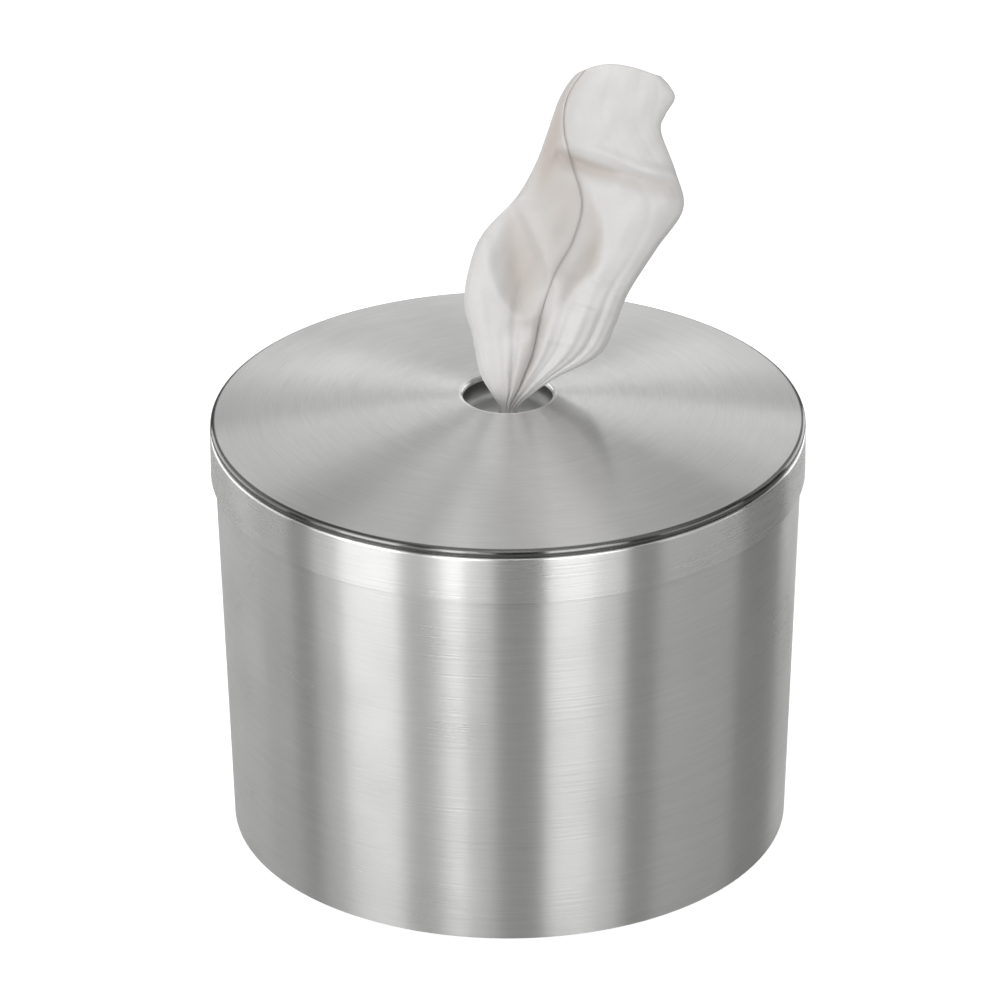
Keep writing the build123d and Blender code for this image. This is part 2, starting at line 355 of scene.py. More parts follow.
def moulded_rubber(name, code, roughness, grain):
    """Moulded synthetic rubber or silicone: matt, with the fine grain of a blasted mould, which
    the eye sees as a soft bloom along edges."""
    material, tree = new_material(name)
    place = add_node(tree, "ShaderNodeTexCoord").outputs["Object"]
    speckle = add_node(
        tree, "ShaderNodeTexNoise", {}, {"Vector": place, "Scale": 1 / grain, "Detail": 3.0}
    ).outputs["Fac"]
    dark, light = two_tones(linear(code), RUBBER_TONES)
    tone = add_node(
        tree, "ShaderNodeMix", {"data_type": "RGBA"}, {"Factor": speckle, 6: dark, 7: light}
    ).outputs[2]
    bump = add_node(
        tree, "ShaderNodeBump", {},
        {"Height": speckle, "Strength": 0.4, "Distance": RUBBER_GRAIN_DEPTH},
    ).outputs[0]
    shader = add_node(
        tree, "ShaderNodeBsdfPrincipled", {},
        {"Base Color": tone, "Roughness": roughness, "IOR": 1.45, "Normal": bump},
    )
    add_node(tree, "ShaderNodeOutputMaterial", sockets={"Surface": shader.outputs[0]})
    return material


def damp_nonwoven(name, sheet, light_through=0.3):
    """Hydroentangled viscose and polyester nonwoven, damp: a soft white felt of fibres with no
    thread or weave. It gives the eye a matt face with faint clouds where fibres lie denser, a fine
    tooth, and light that comes through where a single layer stands against the sky."""
    material, tree = new_material(name)
    place = add_node(tree, "ShaderNodeTexCoord").outputs["Object"]
    cloud = add_node(
        tree, "ShaderNodeTexNoise", {},
        {"Vector": place, "Scale": 1 / FIBRE_CLOUD, "Detail": 3.0, "Roughness": 0.55},
    ).outputs["Fac"]
    tooth = add_node(
        tree, "ShaderNodeTexNoise", {},
        {"Vector": place, "Scale": 1 / FIBRE_TOOTH, "Detail": 2.0},
    ).outputs["Fac"]
    mixed = add_node(
        tree, "ShaderNodeMix", {"data_type": "FLOAT"},
        {"Factor": TOOTH_SHARE, 2: cloud, 3: tooth},
    ).outputs[0]
    thin, dense = two_tones(sheet.colour, NONWOVEN_TONES)
    fibres = add_node(
        tree, "ShaderNodeMix", {"data_type": "RGBA"}, {"Factor": mixed, 6: thin, 7: dense}
    ).outputs[2]
    # The attribute damp holds painted shade: it darkens and warms the sheet in its hollows, valleys
    # and under its creases
    painted_shade_share = add_node(tree, "ShaderNodeAttribute", {"attribute_name": "damp"}).outputs["Fac"]
    tone = add_node(
        tree, "ShaderNodeMix", {"data_type": "RGBA"},
        {"Factor": painted_shade_share, 6: fibres, 7: (*sheet.painted_shade_colour, 1)},
    ).outputs[2]
    bump = add_node(
        tree, "ShaderNodeBump", {},
        {"Height": mixed, "Strength": 0.35, "Distance": TOOTH_DEPTH},
    ).outputs[0]
    felt = add_node(
        tree, "ShaderNodeBsdfPrincipled", {},
        {
            "Base Color": tone, "Roughness": 0.85, "IOR": 1.4, "Normal": bump,
            "Specular IOR Level": 0.25, "Sheen Weight": 0.15, "Sheen Roughness": 0.5,
        },
    )
    through = add_node(
        tree, "ShaderNodeBsdfTranslucent", {}, {"Color": tone, "Normal": bump}
    )
    mix = add_node(
        tree, "ShaderNodeMixShader", {},
        {0: light_through, 1: felt.outputs[0], 2: through.outputs[0]},
    )
    add_node(tree, "ShaderNodeOutputMaterial", sockets={"Surface": mix.outputs[0]})
    return material


def finish_node(name, material):
    """Give a CAD node its material."""
    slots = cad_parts[name].data.materials
    slots.clear()
    slots.append(material)


class WIPES_OT_finish_can(Operator):
    """Brush the can's wall and pan, and give the feet their rubber"""

    bl_idname = "wipes.finish_can"
    bl_label = "Can, pan and feet"

    def execute(self, context):
        finish = context.scene.steel_finish
        finish_node("body_shell", brushed_steel("stainless_can_brushed", finish, upright=True))
        finish_node("base_pan", brushed_steel("stainless_pan_mill", finish, 0.1, 0.9))
        rubber = moulded_rubber("rubber_foot_moulded", "#2B2B2A", 0.7, 0.0008)
        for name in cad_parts:
            if name.startswith("foot_"):
                finish_node(name, rubber)
        return {"FINISHED"}


class WIPES_OT_finish_lid(Operator):
    """Brush the lid's crown, band and dish, and colour its gasket and nozzle"""

    bl_idname = "wipes.finish_lid"
    bl_label = "Lid, dish, gasket and nozzle"

    def execute(self, context):
        finish = context.scene.steel_finish
        # Rings of painted light in the steel: painted shade along the crown's edge bead, a painted
        # highlight on the opening's lip, and painted shade up the dish's wall. Rings that stand in
        # for lines in the photograph which may only be reflections there: dark along the crown's
        # edge bead, bright on the opening's lip, and dark up the dish's wall
        bead_painted_shade = (122.7, 123.4, "#747473", 0.2)
        lip_painted_highlight = (21.0, 20.2, "#F4F4F3", 0.36)
        dish_wall_painted_shade = (17.5, 20.0, "#6A6A69", 0.45)
        crown = brushed_steel(
            "stainless_crown_brushed", finish, 0.02, 0.98, tooth=0.00003,
            rings=(bead_painted_shade, lip_painted_highlight),
        )
        band = brushed_steel("stainless_band_brushed", finish, -0.02, 1.04, upright=True)
        # The dish's steel is made lighter by its shade factor, which paints a highlight on its
        # floor below the painted shade up its wall
        dish = brushed_steel(
            "stainless_dish_pressed", finish, 0.2, 1.15, stretch=0.2, tooth=0.00001,
            rings=(dish_wall_painted_shade,),
        )
        gasket = moulded_rubber("silicone_gasket_moulded", "#B9B9B6", 0.5, 0.0006)
        nozzle = moulded_rubber("silicone_nozzle_moulded", "#33332F", 0.45, 0.0006)
        finish_node("lid_crown", crown)
        finish_node("lid_band", band)
        finish_node("dispensing_dish", dish)
        finish_node("lid_gasket", gasket)
        finish_node("outlet_nozzle", nozzle)
        return {"FINISHED"}


# The pulled wipe, row by row from its perforation to its free end, in millimetres from the outlet:
# left edge across and up, right edge across and up, front and back depth, arch of the row, place
# of the free side edge between the left (-1) and right (+1) edge, and pleat depth.
PULLED_ROWS = (
    (-2.1, -32.0, 2.1, -32.0, 2.1, 2.1, 0.0, 0.2, 0.25),
    (-2.1, -16.0, 2.1, -16.0, 2.1, 2.1, 0.0, 0.2, 0.25),
    (-2.2, -2.0, 2.2, -2.0, 2.1, 2.1, 0.0, 0.2, 0.3),
    (-3.3, 3.5, 4.0, 3.1, 2.6, 2.8, 0.0, 0.15, 0.65),
    (-6.5, 9.4, 10.5, 9.6, 4.0, 5.0, 0.0, 0.2, 1.0),
    (-11.2, 19.0, 21.0, 17.1, 6.5, 8.5, 1.0, 0.15, 1.6),
    (-14.4, 36.5, 38.0, 27.1, 9.0, 12.0, 1.9, 0.0, 2.1),
    (-17.7, 52.2, 44.3, 39.4, 10.0, 13.0, 1.9, 0.04, 1.6),
    (-14.6, 71.3, 50.2, 55.5, 10.0, 12.5, 1.0, 0.06, 0.7),
    (-9.1, 83.8, 61.9, 75.7, 9.0, 11.0, 0.0, 0.03, 0.3),
    (4.2, 99.4, 72.7, 93.6, 8.0, 9.5, 0.0, -0.22, 0.2),
    (12.0, 114.2, 69.5, 110.3, 7.0, 8.0, 0.0, -0.48, 0.15),
    (16.6, 127.5, 63.4, 128.4, 6.0, 7.0, 0.0, -0.7, 0.1),
    (18.9, 134.8, 65.1, 136.0, 5.5, 6.0, 0.5, -0.81, 0.1),
    (21.6, 142.8, 68.9, 143.3, 5.0, 5.0, 1.5, -0.87, 0.1),
    (25.0, 149.4, 66.8, 148.7, 4.5, 4.5, 3.1, -0.85, 0.1),
    (28.4, 153.9, 63.3, 152.9, 4.0, 4.0, 4.8, -0.79, 0.1),
)

# Paths on the front of the pulled wipe that a fold and a patch of painted shade share: places
# across and up from the outlet, in millimetres
POCKET = ((8.0, 34.0), (6.5, 50.0), (5.0, 66.0), (4.0, 82.0), (5.0, 98.0))
RIGHT_VALLEY = (
    (22.0, 48.0), (28.5, 59.5), (35.0, 67.0), (37.8, 79.0), (36.5, 90.0), (29.0, 110.0)
)
CREASE_START = ((20.0, 119.5), (28.0, 115.8), (36.0, 112.0), (47.0, 108.5))

# Folds on the front of the pulled wipe: how far each stands out, its spread on the left and on the
# right of its path, and the path, all in millimetres. On a path that runs to the right, the left is
# above it.
PULLED_FOLDS = (
    # pocket between the left lobe and the middle ridge
    (-6.5, 7.0, 9.0, POCKET),
    # smooth left lobe
    (2.5, 5.0, 5.0, ((-3.0, 4.0), (-8.6, 31.9), (-12.0, 52.6), (-8.0, 82.0))),
    # long ridge that falls from the upper left to the free edge
    (3.4, 3.0, 8.0, ((20.0, 52.0), (19.1, 62.0), (13.6, 78.3), (5.0, 97.5), (-1.5, 112.0))),
    # lit rim under the pocket, which turns up again in its point
    (
        2.0, 3.4, 2.8,
        ((-11.5, 86.0), (-8.0, 68.0), (-4.4, 55.5), (4.5, 44.0), (13.0, 46.5), (23.0, 58.0)),
    ),
    # valley on the right of the free edge
    (-3.0, 7.0, 2.0, RIGHT_VALLEY),
    # broad right panel
    (2.6, 15.0, 15.0, ((42.0, 48.0), (50.0, 70.0), (57.4, 92.0), (63.0, 114.0))),
    # crease under the upper panel: its lip, then the hollow below it, which starts deepest
    (
        1.5, 3.0, 1.6,
        ((19.0, 122.8), (30.0, 121.0), (42.0, 117.4), (54.9, 111.3), (70.0, 107.6), (88.0, 103.0)),
    ),
    (
        -2.4, 2.6, 5.0,
        ((20.0, 119.5), (29.0, 115.6), (42.0, 110.6), (56.0, 106.4), (71.5, 102.6), (88.0, 98.0)),
    ),
    (-2.0, 1.9, 6.0, CREASE_START),
    # fold along the upper left
    (1.8, 1.8, 4.5, ((25.0, 114.0), (23.4, 127.0), (24.4, 142.0), (33.0, 158.0))),
    # lower right lobe
    (3.0, 10.0, 10.0, ((14.0, 12.0), (26.0, 31.2), (36.0, 45.0), (44.0, 60.0))),
    # creases across the lower right lobe
    (-1.2, 1.5, 4.5, ((22.0, 65.0), (30.2, 61.4), (47.6, 53.7), (58.0, 49.0))),
    (0.9, 1.4, 1.4, ((14.0, 53.5), (21.9, 50.9), (31.6, 47.7), (44.1, 43.0), (54.0, 39.0))),
    (0.6, 1.4, 1.4, ((8.0, 38.0), (17.7, 33.6), (26.0, 31.7), (34.0, 30.0))),
    # strong valley that runs on from the free edge to the neck
    (-1.6, 1.8, 2.6, ((1.0, 0.0), (4.5, 11.0), (9.0, 24.0), (13.0, 39.0), (17.0, 56.0))),
)

# Patches of painted shade on the front, darker and warmer where the folds lie in shade: how dark
# from 0 to 1, and the spreads and the path as above
PAINTED_SHADE_PATCHES = (
    (0.75, 7.0, 9.0, POCKET),
    (0.75, 7.5, 1.6, RIGHT_VALLEY),
    # along the upper left edge
    (
        0.7, 6.0, 3.6,
        ((10.0, 92.0), (15.5, 108.7), (19.6, 126.7), (21.6, 140.0), (28.0, 151.3), (35.0, 160.0)),
    ),
    # under the crease
    (0.5, 2.0, 5.0, ((20.0, 119.5), (29.0, 116.0), (54.4, 107.0), (71.5, 103.0), (88.0, 98.0))),
    (0.6, 1.8, 4.5, CREASE_START),
    # down the middle ridge
    (0.6, 9.0, 8.0, ((17.0, 56.0), (21.0, 76.0), (22.0, 97.0), (19.0, 118.0), (20.0, 138.0))),
    # at the neck
    (0.4, 5.0, 5.0, ((0.0, -2.0), (4.0, 12.0), (9.0, 27.0), (14.0, 44.0))),
)

# Crumple that runs all over the pulled wipe: its height in millimetres, and for each wave its share
# of that, how many radians it turns with each millimetre across and up, and where it starts
CRUMPLE_HEIGHT = 0.22
CRUMPLE_WAVES = ((1.0, 0.31, 0.23, 1.3), (1.0, -0.19, 0.37, 4.1), (0.6, 0.61, -0.29, 2.2))

# Roundness of the flattened tube and of its pleats, as the power of the sine that makes them
TUBE_ROUNDNESS = 0.8

# Folds come in from the loop's sides, and are whole where the cosine of its angle is this large
FRONT_BLEND = 0.35

# The front of the tube keeps clear of this share of the back's depth, in a soft step this wide
BACK_SHARE, BACK_STEP = 0.4, 0.8

# The loop's far end lies behind the free edge: its distance near the neck, how much more with each
# millimetre of the row's width, the most, and the spread over which it comes back to the front
LAYER_LEAST, LAYER_GROWTH, LAYER_MOST, LAYER_SPREAD = 0.3, 0.02, 0.8, 7

# The next wipe, gathered in flutes: height from the outlet and outer radius, in millimetres, from
# its loose end in the roll's core up to the perforation
NEXT_ROWS = (
    (-142.0, 11.6),
    (-120.0, 10.8),
    (-98.0, 9.6),
    (-86.0, 7.6),
    (-79.0, 4.0),
    (-70.0, 2.2),
    (-51.0, 2.1),
    (-32.0, 2.1),
)


def distance_to(path, across, height):
    """Distance of each point to a path of straight runs, less than nothing on its left, and how
    far along the path the nearest place is, from 0 to 1. On each run that place is where the point
    falls square on it, held between the run's ends."""
    nearest = np.full(across.shape, np.inf)
    signed = np.zeros(across.shape)
    along = np.zeros(across.shape)
    for number, ((start_x, start_h), (end_x, end_h)) in enumerate(zip(path, path[1:])):
        run_x, run_h = end_x - start_x, end_h - start_h
        share = ((across - start_x) * run_x + (height - start_h) * run_h) / (run_x**2 + run_h**2)
        share = np.clip(share, 0, 1)
        off_x, off_h = across - start_x - share * run_x, height - start_h - share * run_h
        away = np.hypot(off_x, off_h)
        closer = away < nearest
        signed = np.where(closer, away * np.sign(run_h * off_x - run_x * off_h), signed)
        along = np.where(closer, (number + share) / (len(path) - 1), along)
        nearest = np.where(closer, away, nearest)
    return signed, along


# Power of the half wave by which a fold fades at its ends, and steps between its path's places
FOLD_FADE = 0.8
FOLD_STEPS = 8


def fold_relief(folds, across, height):
    """Sum of the folds: each is a bell curve of the distance to its smoothed path, with one
    spread on its left and another on its right, times a half wave of the way along the path, so
    that it is nothing at both ends and fullest halfway."""
    relief = np.zeros(across.shape)
    for rise, left_spread, right_spread, path in folds:
        smooth = smooth_rows(path, np.linspace(0, len(path) - 1, FOLD_STEPS * len(path)))
        away, along = distance_to(smooth, across, height)
        spread = np.where(away < 0, left_spread, right_spread)
        fade = np.sin(pi * along) ** FOLD_FADE
        relief += rise * fade * np.exp(-((away / spread) ** 2))
    return relief


def give_thickness(piece, sheet):
    """Give a surface the wipe's thickness, half of it on each side."""
    wall = piece.modifiers.new("thickness", "SOLIDIFY")
    wall.thickness = sheet.thickness
    wall.offset = 0.0


def gathered_sheet(name, rows, folds, shade_patches, sheet, tuck=0.22, columns=200, lines=210):
    """Make a wipe that is gathered to a strand and opens into a flattened tube. Across, the sheet
    goes once round a loop from its free side edge in front, by the left, the back and the right,
    and a little further, so that it ends behind the edge where it began. A place on the loop is an
    angle: its sine goes across the row and its cosine, times the row's depth, goes forward. Pleats
    are a wave along the loop, and the folds are added to the front. The result is leaned along the
    line of sight, so that the outline doesn't depend on the depth. The tuck is how much further
    than once round the loop goes, in radians."""
    table = np.asarray(rows, float)
    middle = (table[:, 0:2] + table[:, 2:4]) / 2
    steps = np.hypot(*np.diff(middle, axis=0).T)
    travelled = np.concatenate(([0], np.cumsum(steps)))
    places = np.interp(
        np.linspace(0, travelled[-1], lines), travelled, np.arange(len(table), dtype=float)
    )
    left_x, left_h, right_x, right_h, front, back, arch, edge, pleat = (
        column[:, None] for column in smooth_rows(table, places).T
    )
    start = np.arcsin(np.clip(edge, -0.95, 0.95))
    share = np.linspace(0, 1, columns)[None, :]
    angle = start - share * (2 * pi + tuck)
    side, ahead = np.sin(angle), np.cos(angle)
    width = right_x - left_x
    across = (left_x + right_x) / 2 + width / 2 * side
    height = (left_h + right_h) / 2 + (right_h - left_h) / 2 * side
    # The row's arch leans to the left
    height = height + arch * (1 - side**2) * (1 - 0.35 * side)
    facing = np.clip(ahead / FRONT_BLEND, 0, 1)
    facing = facing * facing * (3 - 2 * facing)
    roundness = np.abs(ahead) ** TUBE_ROUNDNESS
    depth = np.where(ahead > 0, front, back) * np.sign(ahead) * roundness
    # Pleats have round ridges and sharp valleys, uneven in place and depth, with fine wrinkles on
    # them. They are twice as deep at the back, and calm on the smooth lobe at the front's left.
    round_loop = (2 * pi + tuck) * share
    uneven_place = sheet.pleats / 2 * round_loop + 0.6 * np.sin(3 * round_loop)
    uneven_depth = 0.75 + 0.25 * np.sin(5 * round_loop + 1)
    wave = 2 * np.abs(np.sin(uneven_place)) ** TUBE_ROUNDNESS - 1
    wave = wave * uneven_depth + 0.2 * np.sin(31 * round_loop)
    slack = width / (width + 6)
    outward = np.where(ahead > 0, 1.0, 2.0)
    left_calm = 1 - 0.8 * slack * facing * np.clip((-0.15 - side) / 0.3, 0, 1)
    depth = depth + wave * pleat * outward * ahead * left_calm
    across = across + wave * pleat * side * (1 - slack)
    depth = depth + facing * fold_relief(folds, across, height)
    # The front stays in front of the back: a smooth maximum with a share of the back's depth
    behind_it = -BACK_SHARE * back * roundness
    held = (depth + behind_it + np.hypot(depth - behind_it, BACK_STEP)) / 2
    depth = np.where(ahead > 0, held, depth)
    # The far end of the loop passes behind the free edge, over its last two fifths
    behind = np.clip((share - 0.6) / 0.4, 0, 1) * facing
    past = (side - edge) * width / 2
    layer = np.minimum(LAYER_MOST, LAYER_LEAST + LAYER_GROWTH * width)
    depth = depth - layer * behind * np.exp(-((np.maximum(past, 0) / LAYER_SPREAD) ** 2))
    crumple = sum(
        rise * np.sin(by_across * across + by_height * height + begin)
        for rise, by_across, by_height, begin in CRUMPLE_WAVES
    )
    depth = depth + CRUMPLE_HEIGHT * slack * crumple * ahead
    depth, across, height = np.broadcast_arrays(depth, across, height)
    points = np.stack(
        (across, -depth, OUTLET_HEIGHT + height + depth * VIEW_SLOPE), axis=-1
    )
    piece = grid_object(name, points * MM)
    # Painted shade on the front's hollows and creases, stored as the attribute damp
    painted_shade_share = np.clip(fold_relief(shade_patches, across, height) * facing, 0, 1)
    damp = piece.data.attributes.new("damp", "FLOAT", "POINT")
    damp.data.foreach_set("value", painted_shade_share.astype(np.float32).ravel())
    give_thickness(piece, sheet)
    return piece


# The flutes of the next wipe: points across one, the share of the radius that the deepest takes,
# how far the sheet goes round before its two side edges meet, and how unevenly the flutes lie
FLUTE_POINTS = 16
FLUTE_DEEPEST = 0.9
FLUTE_CLOSING = 0.998
FLUTE_LEAN = 0.12


def fluted_sheet(name, rows, sheet, twist=0.012, lines=120):
    """Make a wipe that is gathered in flutes round an upright line. Its level cut is a circle whose
    radius swings between the outer radius and an inner one. The swing is as deep as it takes for
    the cut to be as long as the sheet is wide, which a flute gives as twice the slanting way from
    its bottom to its ridge, and at most nine tenths of the radius. The flutes turn with height."""
    heights = np.linspace(rows[0][0], rows[-1][0], lines)
    table = np.asarray(rows)
    places = np.interp(heights, table[:, 0], np.arange(len(table), dtype=float))
    outer = smooth_rows(table[:, 1:], places)
    step = 2 * pi * outer / sheet.pleats / 2
    slant = sheet.width / MM / (2 * sheet.pleats)
    swing = np.minimum(np.sqrt(np.maximum(slant**2 - step**2, 0)), FLUTE_DEEPEST * outer)
    share = np.linspace(0.0, FLUTE_CLOSING, sheet.pleats * FLUTE_POINTS)[None, :]
    wave = 0.5 + 0.5 * np.cos(2 * pi * sheet.pleats * share)
    lean = FLUTE_LEAN * np.sin(5 * 2 * pi * share + 0.05 * heights[:, None])
    radius = outer - swing * (1 - wave) * (1 + lean) * 0.95
    turn = -2 * pi * share + twist * heights[:, None]
    level = OUTLET_HEIGHT + heights[:, None] + 0 * turn
    points = np.stack((radius * np.sin(turn), -radius * np.cos(turn), level), axis=-1)[::-1]
    piece = grid_object(name, points * MM)
    give_thickness(piece, sheet)
    return piece


class WIPES_OT_pull_wipe(Operator):
    """Pull one wipe out of the nozzle and hang the next one under it"""

    bl_idname = "wipes.pull_wipe"
    bl_label = "Pulled wipe and the next one"

    def execute(self, context):
        sheet = context.scene.wipe_sheet
        material = damp_nonwoven("viscose_nonwoven_damp", sheet)
        wipe = gathered_sheet("pulled_wipe", PULLED_ROWS, PULLED_FOLDS, PAINTED_SHADE_PATCHES, sheet)
        following = fluted_sheet("following_wipe", NEXT_ROWS, sheet)
        for piece, node in ((wipe, "dispensed_wipe"), (following, "next_wipe")):
            piece.data.materials.append(material)
            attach(piece, "wipe")
            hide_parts(node)
        return {"FINISHED"}


class WIPES_OT_wind_roll(Operator):
    """Wind the roll of wipes that stands on the pan"""

    bl_idname = "wipes.wind_roll"
    bl_label = "Roll of wipes"

    winding: FloatProperty(
        name="Winding", description="Millimetres between the windings that show", default=1.6,
        min=0.3,
    )
    lap: FloatProperty(
        name="Lap", description="Height of the loose outer end's step in millimetres", default=0.8,
        min=0,
    )

    def execute(self, context):
        roll = self.wound_roll()
        roll.data.materials.append(
            damp_nonwoven("viscose_nonwoven_wound", context.scene.wipe_sheet, 0.1)
        )
        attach(roll, "can")
        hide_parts("wipe_roll")
        return {"FINISHED"}

    def wound_roll(self):
        """Make the roll: a rounded oblong carried round the axis. Its top is a wave of the radius,
        moved out by one winding a turn, so that the ridges form one spiral, and its bottom is
        flat. The outer wall shrinks evenly over the turn and steps back at the lap, which fades
        out within a few millimetres of it."""
        core, edge, rim = ROLL_CORE, ROLL_EDGE, ROLL_HIGH.x / MM
        low, high = ROLL_LOW.z / MM, ROLL_HIGH.z / MM
        ripple_height = 0.35
        lap_fade = 4
        turn = np.linspace(0, 2 * pi, 241)[None, :-1]
        flat = np.linspace(core + edge, rim - edge, 110)[:, None]
        down = np.linspace(high - edge, low + edge, 14)[:, None]
        quarter = np.linspace(0, pi / 2, 6)[1:-1, None]
        along, across = edge * np.sin(quarter), edge * np.cos(quarter)
        ripple = ripple_height * np.cos(2 * pi * flat / self.winding - turn) - ripple_height
        # Radius and height of the top, the wall and the bottom, then of the core, with a quarter
        # round after each
        rows = [
            (flat, high + ripple),
            (rim - edge + along, high - edge + across),
            (rim, down),
            (rim - edge + across, low + edge - along),
            (flat[::-1], low),
            (core + edge - along, low + edge - across),
            (core, down[::-1]),
            (core + edge - across, high - edge + along),
        ]
        whole = [np.broadcast_arrays(out, up, turn) for out, up in rows]
        radius = np.vstack([row[0] for row in whole])
        height = np.vstack([row[1] for row in whole])
        outer = np.clip((radius - (rim - lap_fade)) / lap_fade, 0, 1)
        radius = radius - outer * self.lap * turn / (2 * pi)
        points = np.stack((radius * np.cos(turn), radius * np.sin(turn), height), axis=-1)
        return grid_object("wound_roll", points * MM, round_columns=True, round_rows=True)


# Soft boxes round the dispenser: name, from and to which bearing in degrees (0 towards the camera,
# + to the right), lower and upper edge in metres, distance in metres, and brightness as radiance
SOFT_BOXES = (
    ("key_right", 13, 30, 0.02, 0.6, 1.3, 4.6),
    ("key_right_edge", 30, 42, 0.02, 0.6, 1.3, 2.6),
    ("key_right_upper", 14, 40, 0.6, 1.4, 1.3, 3.1),
    ("front_high", -12, 14, 1.6, 2.2, 1.3, 3.5),
    ("fill_right", 55, 92, 0.02, 0.6, 1.3, 1.3),
    ("fill_right_upper", 40, 70, 0.6, 1.4, 1.3, 0.6),
    ("rear_right_upper", 112, 146, 0.6, 1.4, 1.3, 0.8),
    ("rear_left_upper", -146, -114, 0.6, 1.4, 1.3, 0.7),
    ("rear_right", 120, 152, 0.02, 0.6, 1.3, 2.5),
    ("strip_left_inner", -14, -5, 0.02, 0.6, 1.3, 2.4),
    ("strip_left", -23, -15, 0.02, 0.6, 1.3, 5.6),
    ("strip_left_edge", -28, -23, 0.02, 0.6, 1.3, 2.6),
    ("gap_left", -39, -28, 0.02, 0.6, 1.3, 1.4),
    ("strip_left_upper", -28, -11, 0.6, 1.4, 1.3, 3.8),
    ("broad_left", -62, -39, 0.02, 0.6, 1.3, 5.2),
    ("broad_left_edge", -74, -62, 0.02, 0.6, 1.3, 1.8),
    ("broad_left_upper", -72, -40, 0.6, 1.4, 1.3, 2.8),
    ("side_left_upper", -108, -72, 0.6, 1.4, 1.3, 0.9),
    ("side_left", -145, -104, 0.02, 0.6, 1.3, 2.4),
    ("side_left_edge", -104, -85, 0.02, 0.6, 1.3, 1.5),
    ("backdrop", 168, 192, 0.02, 0.8, 1.6, 0.58),
    ("glow_behind", 165, 195, 0.4, 1.5, 1.5, 0.82),
)

# Soft boxes over the dispenser: name, metres to the right, lean towards it in degrees, width, depth
# and radiance
OVERHEAD_HEIGHT = 1.45
OVERHEAD_BOXES = (
    ("overhead", 0.0, 0, 0.8, 1.7, 0.58),
    ("overhead_right", 0.75, 30, 0.6, 0.9, 0.6),
)

# Matt black cards that steel mirrors as dark bands: name, bearings, edges and distance as above
BLACK_FLAGS = (
    ("flag_lens", -3.5, 11.6, 0.0, 1.3, 1.2),
    ("flag_gap", 43, 54, 0.0, 1.6, 1.4),
    ("flag_right", 102, 124, 0.0, 1.6, 1.4),
    ("flag_left", -99, -76, 0.0, 1.6, 1.4),
)


# How bright the floor and the room are made to look: to the camera, then in metal and glass, then
# to everything else. The room's first and last add up to 1, which is white.
FLOOR_GLOW = (0.95, 0.055, 0.0)
ROOM_LIGHT = (0.89, 0.09, 0.11)


def seen_strength(tree, glow):
    """Strength by the kind of ray: the third value, plus the second in a mirror or through glass,
    plus the first to the camera."""
    to_camera, mirrored, always = glow
    rays = add_node(tree, "ShaderNodeLightPath")
    bounced = add_node(
        tree, "ShaderNodeMath", {"operation": "ADD"},
        {0: rays.outputs["Is Glossy Ray"], 1: rays.outputs["Is Transmission Ray"]},
    )
    unseen = add_node(
        tree, "ShaderNodeMath", {"operation": "MULTIPLY_ADD"},
        {0: bounced.outputs[0], 1: mirrored, 2: always},
    )
    return add_node(
        tree, "ShaderNodeMath", {"operation": "MULTIPLY_ADD"},
        {0: rays.outputs["Is Camera Ray"], 1: to_camera, 2: unseen.outputs[0]},
    ).outputs[0]


def area_lamp(name, width, height, radiance):
    """Make a rectangular lamp, to be placed. Its power is its radiance times pi times its area."""
    lamp = bpy.data.lights.new(name, "AREA")
    lamp.shape = "RECTANGLE"
    lamp.size, lamp.size_y = width, height
    lamp.energy = radiance * pi * lamp.size * lamp.size_y
    holder = bpy.data.objects.new(name, lamp)
    bpy.context.scene.collection.objects.link(holder)
    return holder


def soft_box(name, start, end, low, high, distance, radiance):
    """Stand a soft box on a bearing, facing the dispenser."""
    middle = radians((start + end) / 2)
    width = 2 * distance * tan(radians(end - start) / 2)
    box = area_lamp(name, width, high - low, radiance)
    box.location = (distance * sin(middle), -distance * cos(middle), (low + high) / 2)
    box.rotation_euler = (pi / 2, 0, middle)


def black_flag(name, start, end, low, high, distance):
    """Stand a flat card on a bearing, square to it: a grid of four corners, which lie as far to
    both sides as the distance times the tangent of half the angle. Only mirror images show it, so
    it neither hides the dispenser from another side nor shades it."""
    half = distance * tan(radians(end - start) / 2)
    middle = radians((start + end) / 2)
    right = np.array((cos(middle), sin(middle), 0))
    foot = np.array((distance * sin(middle), -distance * cos(middle), 0))
    corners = [
        [foot + right * side + (0, 0, height) for side in (half, -half)]
        for height in (high, low)
    ]
    card = grid_object(name, np.array(corners))
    card.visible_camera = card.visible_diffuse = card.visible_shadow = False
    material, tree = new_material(f"card_{name}")
    shader = add_node(
        tree, "ShaderNodeBsdfPrincipled", {},
        {"Base Color": (*linear("#1C1C1C"), 1), "Roughness": 0.9, "Specular IOR Level": 0.1},
    )
    add_node(tree, "ShaderNodeOutputMaterial", sockets={"Surface": shader.outputs[0]})
    card.data.materials.append(material)


